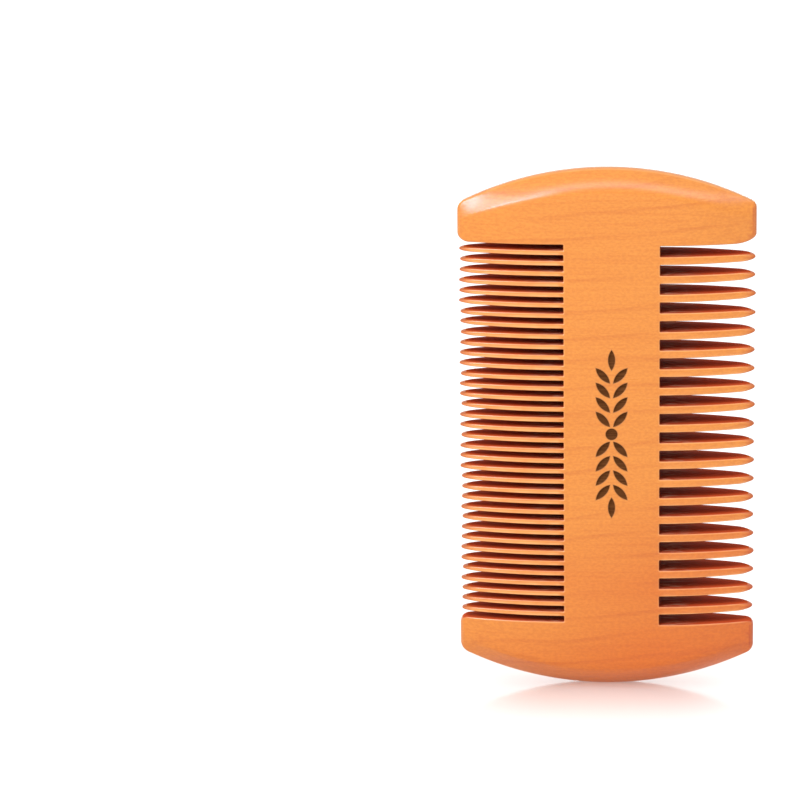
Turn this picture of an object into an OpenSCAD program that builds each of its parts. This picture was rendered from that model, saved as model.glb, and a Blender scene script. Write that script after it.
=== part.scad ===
// Two-sided wooden beard comb: one sawn board with a fine row, a coarse row
// and an arched guard at each end of the rows.
// Millimetres. The origin is the centre of the board. X runs across the two
// rows (fine teeth towards -X), Y through the thickness (front face towards
// -Y) and Z along the length of the board.

/* [Board] */
// Width of the board across both rows of teeth
board_width = 60; // [54:0.5:66]
// Length of the board between the crowns of the two arches
board_length = 108; // [102:0.5:120]
// Thickness of the flat spine
spine_thickness = 10; // [8:0.5:12]
// Thickness left at the tips of the teeth and at the ends of the guards
tip_thickness = 2.2; // [1:0.1:3]
// How far each tapering face bulges above a straight taper
face_bulge = 0.85; // [0.3:0.05:0.9]

/* [Spine] */
// Width of the flat spine between the two rows
spine_width = 19.4; // [15:0.1:24]
// Distance of the middle of the spine from the middle of the board
spine_offset = 1; // [-2:0.1:2]
// How far the saw cuts between the teeth bite into the flat of the spine
saw_bite = 0.3; // [0.1:0.1:0.6]

/* [Fine row] */
// Number of fine teeth
fine_count = 36; // [20:1:40]
// Width of the gap between two fine teeth
fine_gap = 1.12; // [0.8:0.01:1.2]
// Length of the row, from guard to guard
fine_row_length = 78.8; // [74:0.1:80]
// Distance of the middle of the row from the middle of the board
fine_row_offset = -0.25; // [-1:0.05:1]
// Length of the pointed part of a fine tooth
fine_point = 3; // [2:0.1:5]

/* [Coarse row] */
// Number of coarse teeth
coarse_count = 20; // [12:1:22]
// Width of the gap between two coarse teeth
coarse_gap = 2.15; // [1.5:0.05:2.2]
// Length of the row, from guard to guard
coarse_row_length = 79.1; // [74:0.1:80]
// Distance of the middle of the row from the middle of the board
coarse_row_offset = -0.75; // [-1:0.05:1]
// Length of the pointed part of a coarse tooth
coarse_point = 4.6; // [3:0.1:6]

/* [Guards] */
// Radius of the arch at each end of the board
arch_radius = 66; // [52:1:75]
// Radius of the corner where an arch meets the side of the board
outer_corner = 1.6; // [0.5:0.1:3]
// Radius of the corner where a guard's side meets its row of teeth
inner_corner = 2.4; // [1:0.1:4]
// Thickness left along the edge of the arch
rim_thickness = 1.6; // [1:0.1:3]
// Angle of the bevel that runs from the flat face down to the arch
bevel_angle = 36; // [25:1:50]

/* [Ornament] */
// Length of the engraved sprig along the spine
sprig_length = 35; // [20:1:40]
// Number of pairs of leaves on each half of the sprig
leaf_pairs = 4; // [2:1:5]
// Length of one leaf
leaf_length = 4.2; // [3:0.1:5]
// Greatest width of one leaf
leaf_width = 1.4; // [0.8:0.1:1.8]
// Angle between a leaf and the line that the sprig grows along
leaf_angle = 42; // [25:1:60]
// Distance of the foot of a leaf from the line that the sprig grows along
leaf_gap = 0.35; // [0.2:0.05:0.6]
// Diameter of the disc in the middle of the sprig
disc_diameter = 2.4; // [1:0.1:4]
// Depth of the engraving
engraving_depth = 0.3; // [0.1:0.05:0.6]

/* [Hidden] */
$fn = 96;
// Overlap that keeps cutters clear of the faces they cut
clear = 1;
// Flats that make up a small rounded corner
corner_steps = 6;
spine_left = spine_offset - spine_width / 2;
spine_right = spine_offset + spine_width / 2;
fine_length = board_width / 2 + spine_left;
coarse_length = board_width / 2 - spine_right;
arch_centre = board_length / 2 - arch_radius;
bevel_slope = tan(bevel_angle);
leaf_radius = (pow(leaf_length / 2, 2) + pow(leaf_width / 2, 2)) / leaf_width;
leaf_pitch = (sprig_length / 2 - leaf_length - disc_diameter / 2) / leaf_pairs;

// Unit vector at an angle from the X axis
function direction(angle) = [cos(angle), sin(angle)];
// Radius of an arc that starts along a line and has left it by rise after run
function arc_radius(run, rise) = (run * run + rise * rise) / (2 * rise);

// Stands a shape drawn in the plane of the board upright, through its thickness
module through_board() {
  rotate([90, 0, 0])
    linear_extrude(spine_thickness + 2 * clear, center = true)
      children();
}

// Section of one row, from just inside the flat spine past the tips: flat faces
// that change to an arc each at x = 0, the edge of the flat
module row_section(length) {
  drop = (spine_thickness - tip_thickness) / 2;
  chord = norm([length, drop]);
  face_radius = arc_radius(chord / 2, face_bulge);
  intersection() {
    translate([-clear, -spine_thickness / 2])
      square([length + 2 * clear, spine_thickness]);
    both_faces()
      translate([0, spine_thickness / 2])
        rotate(-atan2(drop, length))
          translate([chord / 2, face_bulge - face_radius])
            circle(face_radius);
  }
}

// The part of a shape that its mirror image covers too
module both_faces() {
  intersection() {
    children();
    mirror([0, 1])
      children();
  }
}

// Section across the board: flat spine in the middle, a row on each side
module board_section() {
  translate([spine_left - saw_bite + clear, -spine_thickness / 2])
    square([spine_width + 2 * (saw_bite - clear), spine_thickness]);
  translate([spine_right + saw_bite, 0])
    row_section(coarse_length - saw_bite);
  translate([spine_left - saw_bite, 0])
    mirror([1, 0])
      row_section(fine_length - saw_bite);
}

// The sliver that rounding takes off the corner between side and arch. Its first
// and last flats run on past the outline, so that they cross it cleanly
module outer_corner_waste() {
  centre_x = board_width / 2 - outer_corner;
  centre_z = arch_centre + sqrt(pow(arch_radius - outer_corner, 2) - pow(centre_x, 2));
  lean = atan2(centre_z - arch_centre, centre_x);
  bend = [for (i = [0 : corner_steps]) outer_corner * direction(lean * i / corner_steps)];
  last = corner_steps;
  translate([centre_x, centre_z])
    polygon(concat(
      [2 * bend[0] - bend[1]],
      [for (i = [1 : last - 1]) bend[i]],
      [2 * bend[last] - bend[last - 1]],
      [2 * bend[last], 2 * bend[0]]
    ));
}

// Outline of the board: sides, two arches and their rounded corners
module board_outline() {
  difference() {
    intersection() {
      translate([0, arch_centre])
        circle(arch_radius);
      translate([0, -arch_centre])
        circle(arch_radius);
      square([board_width, 2 * arch_radius], center = true);
    }
    for (side = [0, 1], end = [0, 1])
      mirror([side, 0])
        mirror([0, end])
          outer_corner_waste();
  }
}

// Solid that tapers towards the arch of the upper guard on both faces
module arch_bevel() {
  depth = spine_thickness / 2 + clear;
  widest = arch_radius + rim_thickness / 2 / bevel_slope;
  translate([0, 0, arch_centre])
    for (face = [-90, 90])
      rotate([face, 0, 0])
        cylinder(h = depth, r1 = widest, r2 = widest - depth / bevel_slope);
}

// Board before its teeth are cut
module blank() {
  intersection() {
    linear_extrude(board_length + clear, center = true)
      board_section();
    through_board()
      board_outline();
    arch_bevel();
    mirror([0, 0, 1])
      arch_bevel();
  }
}

// One tooth in plan, from inside the spine out to its point
module tooth_plan(length, width, point) {
  side_radius = arc_radius(point, width / 2);
  translate([-clear, -width / 2])
    square([length - point + clear, width]);
  intersection() {
    translate([length - point, width / 2 - side_radius])
      circle(side_radius);
    translate([length - point, side_radius - width / 2])
      circle(side_radius);
    translate([length - point - clear / 2, -width])
      square([point + clear, 2 * width]);
  }
}

// Everything that is sawn away to leave one row of teeth
module row_waste(length, row_length, count, gap, point) {
  pitch = (row_length - gap) / count;
  difference() {
    union() {
      translate([0, -row_length / 2])
        square([length - inner_corner, row_length]);
      row_mouth(length, row_length);
    }
    for (i = [0 : count - 1])
      translate([0, (i - (count - 1) / 2) * pitch])
        tooth_plan(length, pitch - gap, point);
  }
}

// Open end of a row, widened by the rounded corners of the two guards
module row_mouth(length, row_length) {
  difference() {
    translate([length - inner_corner - clear / 2, -row_length / 2 - inner_corner])
      square([inner_corner + 2 * clear, row_length + 2 * inner_corner]);
    for (end = [-1, 1])
      translate([length - inner_corner, end * (row_length / 2 + inner_corner)])
        circle(inner_corner);
    for (end = [-1, 1])
      translate([length - inner_corner - clear, end * (row_length / 2 + inner_corner)])
        square([2 * clear, 2 * inner_corner], center = true);
  }
}

module fine_row() {
  through_board()
    translate([spine_left, fine_row_offset])
      mirror([1, 0])
        row_waste(fine_length, fine_row_length, fine_count, fine_gap, fine_point);
}

module coarse_row() {
  through_board()
    translate([spine_right, coarse_row_offset])
      row_waste(coarse_length, coarse_row_length, coarse_count, coarse_gap, coarse_point);
}

// One leaf: the lens between two arcs, growing along +Y from the origin
module leaf() {
  translate([0, leaf_length / 2])
    intersection_for(side = [-1, 1])
      translate([side * (leaf_radius - leaf_width / 2), 0])
        circle(leaf_radius);
}

// Upper half of the sprig: pairs of leaves and the leaf at its end
module half_sprig() {
  for (i = [0 : leaf_pairs - 1], side = [-1, 1])
    translate([-side * leaf_gap, disc_diameter / 2 + leaf_gap + i * leaf_pitch])
      rotate(side * leaf_angle)
        leaf();
  translate([0, sprig_length / 2 - leaf_length])
    leaf();
}

// Shallow engraving on the front face of the spine
module ornament() {
  translate([spine_offset, engraving_depth - spine_thickness / 2, 0])
    rotate([90, 0, 0])
      linear_extrude(engraving_depth + clear) {
        circle(d = disc_diameter);
        half_sprig();
        mirror([0, 1])
          half_sprig();
      }
}

module comb() {
  color("sandybrown")
    difference() {
      blank();
      fine_row();
      coarse_row();
      ornament();
    }
}

comb();
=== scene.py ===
"""Two-sided wooden beard comb, standing on a pale studio floor.

The comb is one mesh. Its outline is a closed loop of points in the plane of
the board. From every point the surface runs over an eased edge onto the front
face, and in the same way onto the back face. The two faces are heightfields
over the inside of the outline.
"""

import math
import random

import bpy
from mathutils import Euler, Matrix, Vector
from mathutils.geometry import delaunay_2d_cdt


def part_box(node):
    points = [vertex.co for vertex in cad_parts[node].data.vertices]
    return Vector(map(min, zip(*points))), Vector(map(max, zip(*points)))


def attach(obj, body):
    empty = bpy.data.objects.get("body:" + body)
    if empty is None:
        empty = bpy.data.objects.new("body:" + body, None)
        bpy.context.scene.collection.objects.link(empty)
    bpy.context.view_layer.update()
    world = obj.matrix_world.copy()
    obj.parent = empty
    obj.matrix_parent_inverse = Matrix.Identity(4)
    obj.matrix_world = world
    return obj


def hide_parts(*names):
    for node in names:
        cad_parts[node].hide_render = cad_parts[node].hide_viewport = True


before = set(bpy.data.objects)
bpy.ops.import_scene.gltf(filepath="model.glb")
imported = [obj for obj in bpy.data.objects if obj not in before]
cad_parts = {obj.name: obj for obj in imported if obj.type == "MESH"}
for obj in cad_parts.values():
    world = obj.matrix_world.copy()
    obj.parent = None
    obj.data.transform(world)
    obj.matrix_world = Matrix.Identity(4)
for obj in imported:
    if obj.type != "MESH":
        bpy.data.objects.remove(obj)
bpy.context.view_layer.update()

MM = 0.001
MERGE_DISTANCE = 1e-7

# The board, from the CAD box
LOW, HIGH = (Vector(corner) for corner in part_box("comb"))
HALF_WIDTH = (HIGH.x - LOW.x) / 2
HALF_LENGTH = (HIGH.z - LOW.z) / 2
HALF_THICKNESS = (HIGH.y - LOW.y) / 2

# Sizes that the CAD model holds too
SPINE_MIDDLE = 1.0 * MM
SPINE_HALF = 9.7 * MM
SAW_BITE = 0.3 * MM
FACE_BULGE = 0.85 * MM
ARCH_RADIUS = 66.0 * MM
ARCH_CENTRE = HALF_LENGTH - ARCH_RADIUS
SPRIG_HALF = 17.5 * MM
LEAF_PAIRS = 4
LEAF_LENGTH = 4.2 * MM
LEAF_WIDTH = 1.4 * MM
LEAF_ANGLE = math.radians(42)
LEAF_GAP = 0.35 * MM
DISC_RADIUS = 1.2 * MM
ENGRAVING_DEPTH = 0.3 * MM

# Finishing by hand, which the CAD model simplifies: half the thickness left at
# the tips of the teeth, at the ends of the guards and along the arches, the
# width of the bevels, the corners at the bottom of a gap, and the arrises eased
# with sandpaper, most of all at the tips
TOOTH_TIP_HALF = 1.0 * MM
GUARD_END_HALF = 1.5 * MM
RIM_HALF = 0.9 * MM
CROWN_BEVEL = 4.6 * MM
SIDE_BEVEL = 3.2 * MM
GAP_CORNER = 0.16 * MM
EASE_STEPS = 5
EASE = 0.34 * MM
SIDE_EASE = 0.75 * MM
NOSE = 1.1 * MM

# Corners of the guards, by side (-1 for -X) and end of the board (-1 for low).
# An inner corner is a quarter of an ellipse, given by its X and Z radius
INNER_CORNERS = {
    (-1, 1): (2.3 * MM, 1.8 * MM), (1, 1): (4.5 * MM, 1.9 * MM),
    (-1, -1): (1.7 * MM, 1.3 * MM), (1, -1): (1.5 * MM, 1.0 * MM),
}
OUTER_CORNERS = {
    (-1, 1): 2.2 * MM, (1, 1): 1.4 * MM,
    (-1, -1): 2.5 * MM, (1, -1): 2.2 * MM,
}

# Rings round each engraved shape: inset, depth and how scorched the wood is.
# The scorching fades out within the halo round the shape; that faint dark halo
# is painted shadow round the engraving as well as scorch
HALO = 0.3 * MM
ENGRAVING_RINGS = (
    (-HALO, 0.0, 0.0),
    (-0.1 * MM, 0.0, 0.14),
    (0.0, 0.0, 0.85),
    (0.13 * MM, ENGRAVING_DEPTH, 1.0),
)

# Painted highlight: how pale an arris and the face next to it are, on most edges
# and at the ends of the guards. Then how much those ends look like end grain, by
# side; the +X end also gets painted shade, as the side turned from the key light
PLAIN_SHEEN = (0.35, 0.0)
END_SHEEN = (0.1, 0.0)
# The +X ends get far more of the tint than the -X ends: painted shade on the side turned from the
# key light
END_GRAIN_AND_SHADE = {-1: 0.15, 1: 0.85}

# How much sawn or scorched a surface is from which on its wood is matt
MATT_CUT = 0.3
MATT_SCORCH = 0.5


def smoothstep(low, high, value):
    """0 up to low, 1 from high on, and a smooth step between."""
    t = min(max((value - low) / (high - low), 0.0), 1.0)
    return t * t * (3 - 2 * t)


def mix(a, b, t):
    return a + (b - a) * t


class Row:
    """One row of teeth. side is -1 for the row towards -X and 1 for +X.

    point is the length of the pointed part of a tooth, short the least and the
    most that a tooth falls short of the side of the board, and the argument after
    it how pale its arris and its face are painted, on its low and on its high side:
    a painted highlight where the eased edges catch the light.
    """

    def __init__(self, side, count, gap, length, middle, point, short, pale_sheen, seed):
        self.side = side
        self.count = count
        self.gap = gap
        self.low = middle - length / 2
        self.high = middle + length / 2
        self.pitch = (length - gap) / count
        self.point = point
        self.short = short
        self.pale_sheen = pale_sheen
        self.root = SPINE_MIDDLE + side * SPINE_HALF
        self.reach = HALF_WIDTH - side * self.root
        self.random = random.Random(seed)

    def end(self, outward):
        """Height of the guard at the high end for 1, at the low end for -1."""
        return self.high if outward > 0 else self.low


FINE = Row(
    side=-1, count=36, gap=1.12 * MM, length=78.8 * MM, middle=-0.25 * MM,
    point=2.3 * MM, short=(0.15 * MM, 0.5 * MM), pale_sheen=((0.9, 0.75), (0.15, 0.1)), seed=11,
)
COARSE = Row(
    side=1, count=20, gap=2.15 * MM, length=79.1 * MM, middle=-0.75 * MM,
    point=2.8 * MM, short=(0.0, 0.18 * MM), pale_sheen=((0.9, 0.15), (0.35, 0.0)), seed=23,
)


def row_at(x):
    """The row on the side of the board that x lies on."""
    return COARSE if x > SPINE_MIDDLE else FINE


def section_half(x, tip_half):
    """Half thickness of the board at x: flat spine, then an arc to tip_half."""
    row = row_at(x)
    run = row.side * (x - row.root) - SAW_BITE
    if run <= 0:
        return HALF_THICKNESS
    drop = HALF_THICKNESS - tip_half
    length = row.reach - SAW_BITE
    chord = math.hypot(length, drop)
    radius = (chord ** 2 / 4 + FACE_BULGE ** 2) / (2 * FACE_BULGE)
    inward = (radius - FACE_BULGE) / chord
    centre_run = length / 2 - drop * inward
    centre_height = HALF_THICKNESS - drop / 2 - length * inward
    return centre_height + math.sqrt(radius ** 2 - (run - centre_run) ** 2)


def bevel_width(x):
    """Width of the bevel of a guard, widest under the crown of the arch."""
    return mix(CROWN_BEVEL, SIDE_BEVEL, smoothstep(0.0, 1.0, abs(x) / HALF_WIDTH))


def bevel_fullness(x):
    """0 for a flat bevel with a sharp crease, 1 for a round one without."""
    near_crown = smoothstep(0.35, 0.9, 1 - abs(x) / HALF_WIDTH)
    at_side = 0.25 if x < 0 else 0.6
    return mix(at_side, 0.9, near_crown)


def board_half(x, z):
    """Half thickness of the board at a point in its plane."""
    row = row_at(x)
    if row.low < z < row.high:
        half = section_half(x, TOOTH_TIP_HALF)
    else:
        half = section_half(x, GUARD_END_HALF)
    inset = ARCH_RADIUS - math.hypot(x, abs(z) - ARCH_CENTRE)
    width = bevel_width(x)
    if inset >= width:
        return half
    rim = min(RIM_HALF, 0.8 * half)
    fullness = bevel_fullness(x)
    t = max(inset, 0.0) / width
    return mix(rim, half, (1 + fullness) * t - fullness * t * t)


class Edge:
    """A point of the outline, with what the surface does behind it.

    inner is the point that the edge is eased towards, ease the width of the
    eased edge in plan, drop its height, cut how much the wall is sawn, tip how
    much the wood looks like end grain, as it does at the tip of a tooth, and on
    the +X end of a guard also painted shade, and the last how pale the arris and
    the face next to it are painted: a painted highlight.
    """

    def __init__(self, place, inner=None, ease=EASE, drop=EASE, cut=0.0, tip=0.0, pale_sheen=PLAIN_SHEEN):
        self.place = Vector(place)
        self.inner = inner
        self.ease = ease
        self.drop = drop
        self.cut = cut
        self.tip = tip
        self.pale_sheen = pale_sheen


def arc(centre, radius, start, stop, steps):
    """Points on an arc, angles in degrees."""
    for i in range(steps + 1):
        angle = math.radians(mix(start, stop, i / steps))
        yield centre + radius * Vector((math.cos(angle), math.sin(angle)))


def tooth_edges(row, index):
    """Outline of one tooth, from root to point and back, low side first."""
    rand = row.random
    width = row.pitch - row.gap
    length = row.reach - rand.uniform(*row.short)
    point = row.point * rand.uniform(0.85, 1.2)
    blunt = rand.uniform(2.0, 2.8)
    lean = rand.uniform(-0.1, 0.1) * MM
    middle = row.low + row.gap + width / 2 + index * row.pitch
    shaft = length - point

    def axis(run):
        return middle + lean * (run / length) ** 2

    def half_width(run):
        t = min(max((run - shaft) / point, 0.0), 1.0)
        taper = 1 - 0.1 * smoothstep(0.3, 1.0, run / length)
        return 0.5 * width * taper * (1 - t ** blunt) ** 0.53

    def x_at(run):
        return row.root + row.side * run

    shaft_steps = 9
    runs = [shaft * (i + 0.6) / shaft_steps for i in range(shaft_steps)]
    point_steps = 12
    for i in range(point_steps):
        runs.append(shaft + point * math.sin(0.5 * math.pi * i / point_steps))

    def edge(run, sign):
        behind = min(run, length - 0.45 * width - 0.35 * (length - run))
        inner = Vector((x_at(behind), axis(behind)))
        place = Vector((x_at(run), axis(run) + sign * half_width(run)))
        near_tip = smoothstep(0.84, 1.0, run / length)
        reach = (inner - place).length
        half = section_half(place.x, TOOTH_TIP_HALF)
        return Edge(
            place, inner,
            ease=min(mix(EASE, NOSE, near_tip), 0.8 * reach),
            drop=min(mix(EASE, NOSE, near_tip), 0.92 * half),
            cut=1 - smoothstep(0.9, 0.99, run / length),
            tip=near_tip,
            pale_sheen=tuple(pale_sheen * (1 - near_tip) for pale_sheen in row.pale_sheen[sign > 0]),
        )

    low_side = [edge(run, -1) for run in runs]
    high_side = [edge(run, 1) for run in reversed(runs)]
    return low_side + [edge(length, 0)] + high_side


def gap_end(row, z):
    """The end of one gap, at the root of the teeth, from its low corner up."""
    x = row.root + row.side * GAP_CORNER
    low, high = z + GAP_CORNER, z + row.gap - GAP_CORNER
    for centre_z, start, stop in ((low, -90, -180), (high, 180, 90)):
        for place in arc(Vector((0, 0)), GAP_CORNER, start, stop, 3):
            yield Edge((x + row.side * place.x, centre_z + place.y), cut=1.0)


def row_edges(row):
    """The row from its low guard to its high guard."""
    edges = []
    for index in range(row.count + 1):
        edges += gap_end(row, row.low + index * row.pitch)
        if index < row.count:
            edges += tooth_edges(row, index)
    return edges


def guard_inner_edge(row, outward):
    """Side of a guard that faces its row, from the root round the inner corner.

    outward is 1 on the high guard and -1 on the low one.
    """
    z = row.end(outward)
    corner_x, corner_z = INNER_CORNERS[row.side, outward]
    start = row.side * row.root + 1.0 * MM
    stop = HALF_WIDTH - corner_x
    steps = 12
    for i in range(steps):
        yield Edge((row.side * mix(start, stop, i / steps), z), cut=1.0)
    for i in range(steps + 1):
        part = i / steps
        angle = math.radians(90) * part
        x = stop + corner_x * math.sin(angle)
        rise = corner_z * (1 - math.cos(angle))
        ease = mix(EASE, SIDE_EASE, part)
        yield Edge(
            (row.side * x, z + outward * rise), ease=ease, drop=ease,
            cut=1 - smoothstep(0.35, 0.8, part), tip=END_GRAIN_AND_SHADE[row.side] * part, pale_sheen=END_SHEEN,
        )


def outer_corner(row, outward):
    """Radius and centre of the corner between a guard's side and its arch."""
    radius = OUTER_CORNERS[row.side, outward]
    x = HALF_WIDTH - radius
    return radius, Vector((x, ARCH_CENTRE + math.sqrt((ARCH_RADIUS - radius) ** 2 - x ** 2)))


def corner_lean(centre):
    """Angle at which a corner's arc runs over into the arch, in degrees."""
    return math.degrees(math.atan2(centre.y - ARCH_CENTRE, centre.x))


def guard_side(row, outward):
    """End of a guard from its inner corner round to the start of the arch."""
    radius, centre = outer_corner(row, outward)
    start = row.end(outward) + outward * INNER_CORNERS[row.side, outward][1]
    steps = 5
    for i in range(1, steps):
        yield Edge(
            (row.side * HALF_WIDTH, mix(start, outward * centre.y, i / steps)),
            ease=SIDE_EASE, drop=SIDE_EASE, tip=END_GRAIN_AND_SHADE[row.side], pale_sheen=END_SHEEN,
        )
    corner_steps = 8
    for i, place in enumerate(arc(centre, radius, 0, corner_lean(centre), corner_steps)):
        part = i / corner_steps
        ease = mix(SIDE_EASE, EASE, part)
        yield Edge(
            (row.side * place.x, outward * place.y), ease=ease, drop=ease,
            tip=END_GRAIN_AND_SHADE[row.side] * (1 - part), pale_sheen=END_SHEEN,
        )


def guard_end(row, outward):
    """A guard on one side, from the root of its row to the start of its arch."""
    return list(guard_inner_edge(row, outward)) + list(guard_side(row, outward))


def arch(outward):
    """Arch of a guard between its two outer corners, from +X to -X."""
    first = corner_lean(outer_corner(COARSE, outward)[1])
    last = 180 - corner_lean(outer_corner(FINE, outward)[1])
    places = list(arc(Vector((0, ARCH_CENTRE)), ARCH_RADIUS, first, last, 72))
    for place in places[1:-1]:
        yield Edge((place.x, outward * place.y))


def outline():
    """The whole outline, anticlockwise as seen from the front."""
    right = guard_end(COARSE, -1)[::-1] + row_edges(COARSE) + guard_end(COARSE, 1)
    left = guard_end(FINE, -1)[::-1] + row_edges(FINE) + guard_end(FINE, 1)
    return right + list(arch(1)) + left[::-1] + list(arch(-1))[::-1]


def finish_edges(edges):
    """Gives each edge without an inner point one along its inward normal."""
    count = len(edges)
    for i, edge in enumerate(edges):
        if edge.inner is None:
            before = (edge.place - edges[i - 1].place).normalized()
            after = (edges[(i + 1) % count].place - edge.place).normalized()
            along = (before + after).normalized()
            edge.inner = edge.place + Vector((-along.y, along.x)) * MM
            edge.drop = min(edge.drop, 0.7 * board_half(*edge.place))


def leaf_loop(base, angle, shrink):
    """Closed loop round one leaf, inset by shrink.

    Its pointed ends move further than its sides, but not into the next leaf.
    """
    along = Vector((-math.sin(angle), math.cos(angle)))
    across = Vector((along.y, -along.x))
    half_length = LEAF_LENGTH / 2
    radius = (half_length ** 2 + (LEAF_WIDTH / 2) ** 2) / LEAF_WIDTH
    length_left = 1 - max(2.2 * shrink, -HALO) / half_length
    width_left = 1 - shrink / (LEAF_WIDTH / 2)
    steps = 9
    places = []
    for side in (1, -1):
        for i in range(steps):
            run = side * mix(-half_length, half_length, i / steps)
            bulge = math.sqrt(radius ** 2 - run ** 2) - radius + LEAF_WIDTH / 2
            place = base + along * (half_length + run * length_left)
            places.append(place + across * side * bulge * width_left)
    return places


def disc_loop(shrink):
    """Closed loop round the disc in the middle of the sprig, inset by shrink."""
    return list(arc(Vector((SPINE_MIDDLE, 0)), DISC_RADIUS - shrink, 0, 360, 24))[:-1]


def ornament_loops(shrink):
    """The engraved sprig: a disc, pairs of leaves and a leaf at each end."""
    loops = [disc_loop(shrink)]
    pitch = (SPRIG_HALF - LEAF_LENGTH - DISC_RADIUS) / LEAF_PAIRS
    for half in (0, math.pi):
        out = Vector((-math.sin(half), math.cos(half)))
        across = Vector((out.y, -out.x))
        start = Vector((SPINE_MIDDLE, 0))
        for i in range(LEAF_PAIRS):
            for side in (-1, 1):
                base = start + out * (DISC_RADIUS + LEAF_GAP + i * pitch)
                base += across * side * LEAF_GAP
                loops.append(leaf_loop(base, half - side * LEAF_ANGLE, shrink))
        loops.append(leaf_loop(start + out * (SPRIG_HALF - LEAF_LENGTH), half, shrink))
    return loops


def guard_grid():
    """Points inside the guards, along curves that follow the arch."""
    places = []
    across_steps = 60
    bevel_steps = 9
    flat_spacing = 1.2 * MM
    side_margin = 0.8 * MM
    row_margin = 1.0 * MM
    for i in range(1, across_steps):
        x = mix(-HALF_WIDTH, HALF_WIDTH, i / across_steps)
        if abs(x) > HALF_WIDTH - side_margin:
            continue
        top = ARCH_CENTRE + math.sqrt(ARCH_RADIUS ** 2 - x ** 2)
        crease = ARCH_CENTRE + math.sqrt((ARCH_RADIUS - bevel_width(x)) ** 2 - x ** 2)
        for outward in (-1, 1):
            low = outward * row_at(x).end(outward) + row_margin
            heights = [mix(top, crease, j / bevel_steps) for j in range(1, bevel_steps + 1)]
            flat_steps = max(2, round((crease - low) / flat_spacing))
            heights += [mix(crease, low, j / flat_steps) for j in range(1, flat_steps + 1)]
            places += [Vector((x, outward * height)) for height in heights]
    return places


class Builder:
    """Collects the vertices and faces of the comb.

    Each vertex carries how far it is sawn, scorched, painted pale as a highlight
    and near a tip; the faint scorch round the engraving is painted shadow too.
    Each face carries its material: 0 for oiled wood, 1 for matt wood, which is
    a sawn wall or the inside of the engraving.
    """

    MARKS = ("cut", "scorch", "edge_sheen", "tip")

    def __init__(self):
        self.vertices = []
        self.marks = {name: [] for name in self.MARKS}
        self.faces = []
        self.materials = []

    def vertex(self, x, y, z, **marks):
        self.vertices.append((x, y, z))
        for name in self.MARKS:
            self.marks[name].append(marks.get(name, 0.0))
        return len(self.vertices) - 1

    def face(self, corners, material=0):
        self.faces.append(corners)
        self.materials.append(material)

    def band(self, first, second, sawn):
        """Quads between two closed rings. sawn says which points are sawn."""
        count = len(first)
        for i in range(count):
            j = (i + 1) % count
            self.face((first[i], second[i], second[j], first[j]), int(sawn[i] and sawn[j]))


def eased_rings(builder, edges, face):
    """Rings from the side wall up to the face, and the places of the last one.

    face is -1 for the front and 1 for the back.
    """
    rings = []
    for step in range(EASE_STEPS + 1):
        part = step / EASE_STEPS
        turn = 0.5 * math.pi * part
        arris = smoothstep(0.25, 0.55, part)
        flat = smoothstep(0.75, 1.0, part)
        ring = []
        places = []
        for edge in edges:
            inward = (edge.inner - edge.place).normalized()
            place = edge.place + inward * edge.ease * (1 - math.cos(turn))
            height = board_half(*place) - edge.drop * (1 - math.sin(turn))
            cut = edge.cut * (1 - smoothstep(0.15, 0.6, part))
            marks = {"cut": cut, "edge_sheen": arris * mix(*edge.pale_sheen, flat), "tip": edge.tip}
            ring.append(builder.vertex(place.x, face * height, place.y, **marks))
            places.append(place)
        rings.append(ring)
    return rings, places


def closed_loop(start, count):
    """The edges of a closed loop of points, numbered from start."""
    return [(start + i, start + (i + 1) % count) for i in range(count)]


def fill_face(builder, ring, places, face, engraved):
    """Triangulates a face inside its last eased ring."""
    count = len(places)
    edges = closed_loop(0, count)
    points = places + guard_grid()
    # Depth and scorch, with the painted shadow of the halo, at each point
    engraving = [(0.0, 0.0)] * len(points)
    if engraved:
        for shrink, depth, scorch in ENGRAVING_RINGS:
            for loop in ornament_loops(shrink):
                edges += closed_loop(len(points), len(loop))
                points += loop
                engraving += [(depth, scorch)] * len(loop)
    found, _, triangles, origin, _, inside = delaunay_2d_cdt(
        points, edges, [list(range(count))], 0, MERGE_DISTANCE, True
    )
    numbers = {}

    def number(i):
        """The vertex of a point, made when the point is first used."""
        if i not in numbers:
            source = origin[i][0] if origin[i] else None
            if source is not None and source < count:
                numbers[i] = ring[source]
            else:
                depth, scorch = engraving[source] if source is not None else (0.0, 0.0)
                height = board_half(*found[i]) - depth
                numbers[i] = builder.vertex(found[i].x, face * height, found[i].y, scorch=scorch)
        return numbers[i]

    for triangle, faces in zip(triangles, inside):
        if faces:
            corners = tuple(number(i) for i in triangle)
            matt = min(builder.marks["scorch"][corner] for corner in corners) > MATT_SCORCH
            builder.face(corners[::-face], int(matt))


def comb_mesh():
    """The whole comb as one closed mesh, with its marks as attributes."""
    edges = outline()
    finish_edges(edges)
    builder = Builder()
    cut_edges = [edge.cut > MATT_CUT for edge in edges]
    uncut_edges = [False] * len(edges)
    walls = []
    for face in (-1, 1):
        rings, places = eased_rings(builder, edges, face)
        # Of the bands, only the one next to a sawn wall is still matt
        sawn = cut_edges
        for pair in zip(rings, rings[1:]):
            first, second = pair[::face]
            builder.band(first, second, sawn)
            sawn = uncut_edges
        fill_face(builder, rings[-1], places, face, engraved=face < 0)
        walls.append(rings[0])
    builder.band(*walls, cut_edges)
    mesh = bpy.data.meshes.new("comb_wood")
    mesh.from_pydata(builder.vertices, [], builder.faces)
    for name, values in builder.marks.items():
        layer = mesh.attributes.new(name, "FLOAT", "POINT")
        layer.data.foreach_set("value", values)
    mesh.polygons.foreach_set("material_index", builder.materials)
    mesh.polygons.foreach_set("use_smooth", [True] * len(mesh.polygons))
    mesh.validate()
    mesh.update()
    return mesh


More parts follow.
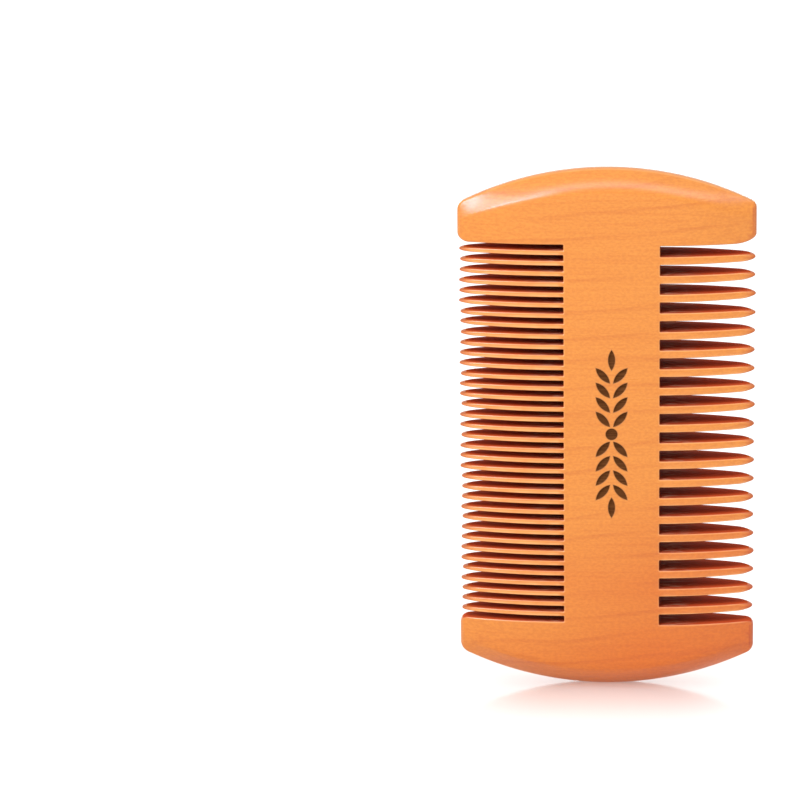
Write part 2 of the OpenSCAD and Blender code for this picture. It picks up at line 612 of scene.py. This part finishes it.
class Nodes:
    """Short calls for building a shader."""

    def __init__(self, material):
        material.use_nodes = True
        self.tree = material.node_tree
        self.tree.nodes.clear()

    def add(self, kind, **settings):
        node = self.tree.nodes.new(kind)
        for name, value in settings.items():
            setattr(node, name, value)
        return node

    def plug(self, node, inputs):
        for name, value in inputs.items():
            socket = node.inputs[name]
            if isinstance(value, bpy.types.NodeSocket):
                self.tree.links.new(value, socket)
            else:
                socket.default_value = value

    def math(self, operation, a, b=0.0, c=0.0, clamp=False):
        node = self.add("ShaderNodeMath", operation=operation, use_clamp=clamp)
        self.plug(node, {0: a, 1: b, 2: c})
        return node.outputs[0]

    def ramp(self, value, low, high):
        """0 at low, 1 at high, smooth between."""
        node = self.add("ShaderNodeMapRange", interpolation_type="SMOOTHSTEP")
        self.plug(node, {"Value": value, "From Min": low, "From Max": high})
        return node.outputs["Result"]

    def mix(self, fraction, a, b, blend="MIX"):
        node = self.add("ShaderNodeMix", data_type="RGBA", blend_type=blend)
        self.plug(node, {0: fraction, 6: a, 7: b})
        return node.outputs[2]

    def noise(self, place, scale, detail=2.0, roughness=0.5, turn=(0, 0, 0)):
        """Noise of a scale of its own along each axis, in features per metre."""
        mapping = self.add("ShaderNodeMapping")
        self.plug(mapping, {"Vector": place, "Rotation": turn, "Scale": scale})
        node = self.add("ShaderNodeTexNoise")
        self.plug(node, {
            "Vector": mapping.outputs["Vector"], "Scale": 1.0,
            "Detail": detail, "Roughness": roughness,
        })
        return node.outputs["Fac"]

    def place(self):
        """The place on the object, in metres."""
        return self.add("ShaderNodeTexCoord").outputs["Object"]

    def parts(self, place):
        """The X, Y and Z of a place."""
        node = self.add("ShaderNodeSeparateXYZ")
        self.plug(node, {"Vector": place})
        return node.outputs

    def attribute(self, name):
        return self.add("ShaderNodeAttribute", attribute_name=name).outputs["Fac"]

    def surface(self, shader):
        output = self.add("ShaderNodeOutputMaterial")
        self.plug(output, {"Surface": shader})


def srgb(red, green, blue):
    """A colour given as 0 to 255 values, in linear light."""
    def linear(value):
        value /= 255
        return value / 12.92 if value <= 0.04045 else ((value + 0.055) / 1.055) ** 2.4
    return (linear(red), linear(green), linear(blue), 1.0)


# The wood, the painted highlight on its arrises, its sawn walls with painted
# shade towards their roots, and its scorched engraving
PALE_WOOD = srgb(191, 113, 32)
DEEP_WOOD = srgb(181, 84, 0)
RING_TINT = (0.84, 0.68, 0.5, 1.0)
FIBRE_TINT = (0.92, 0.82, 0.66, 1.0)
# Deeper end-grain tint of the tips, also painted shade on the +X ends of the guards
TIP_AND_SHADE_TINT = (0.8, 0.56, 0.32, 1.0)
DARK_FLECK = (0.945, 0.91, 0.86, 1.0)
PALE_FLECK = (1.04, 1.06, 1.1, 1.0)
# Pale colour of the painted highlight on the arrises
SHEEN_PALE = srgb(218, 152, 88)
SAWN_ROOT_SHADED = srgb(140, 54, 28)
SAWN_TIP = srgb(172, 66, 30)
SAWN_FIBRE = srgb(170, 112, 84)
BURNT_DARK = srgb(66, 36, 15)
BURNT_PALE = srgb(88, 52, 25)

# Growth rings in a metre of the board's length, and how many ring widths one
# climbs in a metre towards the coarse row
RINGS_PER_METRE = 190.0
RING_SLOPE = 13.0

# The studio. Daylight is slightly cool, for the softboxes whose highlights show
# on the wood
FLOOR_WHITE = (0.99, 0.99, 0.99, 1.0)
MIRROR_WHITE = (1.0, 1.0, 1.0, 1.0)
FLOOR_POLISH = 0.45
ROOM_BRIGHTNESS = 1.02
DAYLIGHT = (0.78, 0.9, 1.25)


def wood_colour(nodes, place, fibre):
    """Warm close-grained wood that deepens towards the foot of the board, and
    towards +X as painted shade.
    """
    parts = nodes.parts(place)
    cloud = nodes.noise(place, (14.0, 45.0, 40.0))
    height = nodes.math("MULTIPLY_ADD", parts["Z"], 0.5 / HALF_LENGTH, 0.5)
    height = nodes.math("ADD", height, nodes.math("MULTIPLY_ADD", cloud, 0.6, -0.3))
    # Painted shade: the colour deepens towards +X, the side turned from the key light
    height = nodes.math("MULTIPLY_ADD", parts["X"], -0.14 / HALF_WIDTH, height)
    colour = nodes.mix(nodes.ramp(height, -0.15, 0.42), DEEP_WOOD, PALE_WOOD)

    # Growth rings climb slightly towards the coarse row and waver on the way.
    # Each darkens slowly and ends sharply, and some are faint
    waver = nodes.math("MULTIPLY", nodes.noise(place, (16.0, 25.0, 45.0)), 2.2)
    phase = nodes.math("MULTIPLY_ADD", parts["X"], -RING_SLOPE, waver)
    phase = nodes.math("FRACT", nodes.math("MULTIPLY_ADD", parts["Z"], RINGS_PER_METRE, phase))
    late = nodes.math("MULTIPLY", nodes.ramp(phase, 0.74, 0.93), nodes.ramp(phase, 1.0, 0.95))
    faint = nodes.noise(place, (45.0, 40.0, 190.0), detail=1.0)
    late = nodes.math("MULTIPLY", late, nodes.ramp(faint, 0.3, 0.6))
    colour = nodes.mix(nodes.math("MULTIPLY", late, 0.45), colour, RING_TINT, "MULTIPLY")

    # Short fibres and fine flecks
    streak = nodes.math("MULTIPLY", nodes.ramp(fibre, 0.4, 0.75), 0.7)
    colour = nodes.mix(streak, colour, FIBRE_TINT, "MULTIPLY")
    fleck = nodes.noise(place, (1300.0, 2000.0, 2400.0))
    fleck = nodes.mix(nodes.ramp(fleck, 0.35, 0.65), DARK_FLECK, PALE_FLECK)
    colour = nodes.mix(1.0, colour, fleck, "MULTIPLY")

    # Tips are a deeper orange as end grain, with painted shade on the +X ends of
    # the guards, and arrises are painted pale as a highlight
    colour = nodes.mix(nodes.attribute("tip"), colour, TIP_AND_SHADE_TINT, "MULTIPLY")
    sheen_mask = nodes.noise(place, (260.0, 500.0, 900.0))
    sheen_mask = nodes.math("MULTIPLY_ADD", nodes.ramp(sheen_mask, 0.35, 0.65), 0.5, 0.6)
    sheen_mask = nodes.math("MULTIPLY", nodes.attribute("edge_sheen"), sheen_mask, clamp=True)
    return nodes.mix(sheen_mask, colour, SHEEN_PALE)


def sawn_colour(nodes, place):
    """Walls of the gaps: red-brown, streaked at the root, and darker towards the
    root as painted shade deep in the gap.
    """
    from_middle = nodes.math("SUBTRACT", nodes.parts(place)["X"], SPINE_MIDDLE)
    from_middle = nodes.math("ABSOLUTE", from_middle)
    outward = nodes.ramp(from_middle, SPINE_HALF, SPINE_HALF + 12.0 * MM)
    off_root = nodes.ramp(from_middle, SPINE_HALF + 0.1 * MM, SPINE_HALF + 1.4 * MM)
    # Painted shade: the sawn colour darkens from the tips towards the root of the gap
    colour = nodes.mix(outward, SAWN_ROOT_SHADED, SAWN_TIP)
    saw_lean = (0, 0, math.radians(24))
    streak = nodes.noise(place, (260.0, 1100.0, 900.0), detail=3.0, turn=saw_lean)
    pale = nodes.ramp(streak, 0.48, 0.64)
    pale = nodes.math("MULTIPLY", pale, nodes.math("SUBTRACT", 0.85, outward), clamp=True)
    pale = nodes.math("MULTIPLY", pale, nodes.math("MULTIPLY_ADD", off_root, 0.85, 0.15))
    return nodes.mix(pale, colour, SAWN_FIBRE)


def wood_material(name, matt):
    """Wood, either matt or with the satin sheen of oil."""
    material = bpy.data.materials.new(name)
    nodes = Nodes(material)
    place = nodes.place()
    fibre = nodes.noise(place, (70.0, 1300.0, 2200.0), detail=3.0, roughness=0.6)
    colour = wood_colour(nodes, place, fibre)
    colour = nodes.mix(nodes.attribute("cut"), colour, sawn_colour(nodes, place))
    burnt = nodes.mix(nodes.ramp(fibre, 0.3, 0.7), BURNT_DARK, BURNT_PALE)
    # Scorched engraving; its faint halo is painted shadow as well
    colour = nodes.mix(nodes.attribute("scorch"), colour, burnt)
    roughness = nodes.math("MULTIPLY_ADD", fibre, 0.14, 0.62 if matt else 0.24)
    for mark, rough in (("scorch", 0.35), ("tip", 0.3)):
        roughness = nodes.math("MULTIPLY_ADD", nodes.attribute(mark), rough, roughness, clamp=True)
    bump = nodes.add("ShaderNodeBump")
    nodes.plug(bump, {"Height": fibre, "Strength": 0.5 if matt else 0.3, "Distance": 0.05 * MM})
    shader = nodes.add("ShaderNodeBsdfPrincipled")
    nodes.plug(shader, {
        "Base Color": colour, "Roughness": roughness, "Normal": bump.outputs["Normal"],
        "IOR": 1.04 if matt else 1.55,
    })
    nodes.surface(shader.outputs["BSDF"])
    return material


def floor_material():
    """White floor, slightly polished only where the comb stands on it."""
    material = bpy.data.materials.new("pale_floor")
    nodes = Nodes(material)
    parts = nodes.parts(nodes.place())
    ahead = nodes.ramp(nodes.math("ABSOLUTE", parts["Y"]), 35.0 * MM, 0.0)
    aside = nodes.ramp(nodes.math("ABSOLUTE", parts["X"]), 42.0 * MM, 12.0 * MM)
    polish = nodes.math("MULTIPLY", nodes.math("MULTIPLY", ahead, aside), FLOOR_POLISH)
    matt = nodes.add("ShaderNodeBsdfDiffuse")
    nodes.plug(matt, {"Color": FLOOR_WHITE})
    gloss = nodes.add("ShaderNodeBsdfGlossy")
    nodes.plug(gloss, {"Color": MIRROR_WHITE, "Roughness": 0.14})
    both = nodes.add("ShaderNodeMixShader")
    nodes.plug(both, {0: polish, 1: matt.outputs["BSDF"], 2: gloss.outputs["BSDF"]})
    nodes.surface(both.outputs["Shader"])
    return material


def add_object(name, data):
    item = bpy.data.objects.new(name, data)
    bpy.context.scene.collection.objects.link(item)
    return item


def add_comb():
    """Makes the comb, which stands for the CAD node, and returns it."""
    comb = add_object("comb_wood", comb_mesh())
    for name, matt in (("oiled_fruitwood", False), ("matt_fruitwood", True)):
        comb.data.materials.append(wood_material(name, matt))
    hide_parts("comb")
    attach(comb, "root")
    return comb


def add_floor():
    """Makes the floor that the comb stands on, and returns it."""
    reach = 6.0
    mesh = bpy.data.meshes.new("floor")
    signs = ((-1, -1), (1, -1), (1, 1), (-1, 1))
    corners = [(x * reach, y * reach, LOW.z) for x, y in signs]
    mesh.from_pydata(corners, [], [(0, 1, 2, 3)])
    floor = add_object("floor", mesh)
    mesh.materials.append(floor_material())
    return floor


def aim(item, target):
    item.rotation_euler = (Vector(target) - item.location).to_track_quat("-Z", "Y").to_euler()


def collect(name, item):
    """A collection outside the scene that holds one object, to aim light at."""
    collection = bpy.data.collections.new(name)
    collection.objects.link(item)
    return collection


def add_light(name, place, size, power, lit, colour=(1, 1, 1), highlight=True):
    """Softbox that faces the comb: place and size in metres, power in watts.

    It lights only what is in the collection lit, which alone casts its shadows.
    """
    data = bpy.data.lights.new(name, "AREA")
    data.shape = "RECTANGLE"
    data.size, data.size_y = size
    data.energy = power
    data.color = colour
    light = add_object(name, data)
    light.location = place
    light.visible_glossy = highlight
    aim(light, (0, 0, 0))
    light.light_linking.receiver_collection = lit
    light.light_linking.blocker_collection = lit


def add_lights(comb, floor):
    """White room, softboxes flagged off the floor, and one for the floor alone."""
    on_comb = collect("lights_on_comb", comb)
    on_floor = collect("light_on_floor", floor)
    world = bpy.data.worlds.new("studio")
    bpy.context.scene.world = world
    world.use_nodes = True
    background = world.node_tree.nodes["Background"]
    background.inputs["Color"].default_value = (1, 1, 1, 1)
    background.inputs["Strength"].default_value = ROOM_BRIGHTNESS
    add_light("key", (-0.31, -0.34, 0.38), (0.11, 0.32), 2.7, on_comb, DAYLIGHT)
    add_light("strip", (0.1, -0.42, 0.81), (1.1, 0.4), 4.0, on_comb, DAYLIGHT)
    add_light("low_fill", (0, -0.9, -0.03), (0.6, 0.2), 1.8, on_comb, highlight=False)
    add_light("back", (0, 0.9, -0.01), (0.8, 0.1), 2.4, on_comb)
    add_light("overhead", (0, -0.2, 1.2), (1.5, 1.5), 7.5, on_floor)


def add_camera():
    """Long lens, looking down at the comb, which stands right of the middle."""
    elevation = math.radians(14.8)
    distance = 0.86
    turn = Euler((math.radians(0.38), math.radians(2.80), 0), "YXZ")
    data = bpy.data.cameras.new("camera")
    data.sensor_width = 36
    data.lens = 190.2
    data.clip_end = 20
    camera = add_object("camera", data)
    camera.location = Vector((0.004, -math.cos(elevation), math.sin(elevation))) * distance
    facing = (-camera.location).to_track_quat("-Z", "Y")
    camera.rotation_euler = (facing @ turn.to_quaternion()).to_euler()
    bpy.context.scene.camera = camera


add_lights(add_comb(), add_floor())
add_camera()
bpy.context.scene.view_settings.view_transform = "Standard"
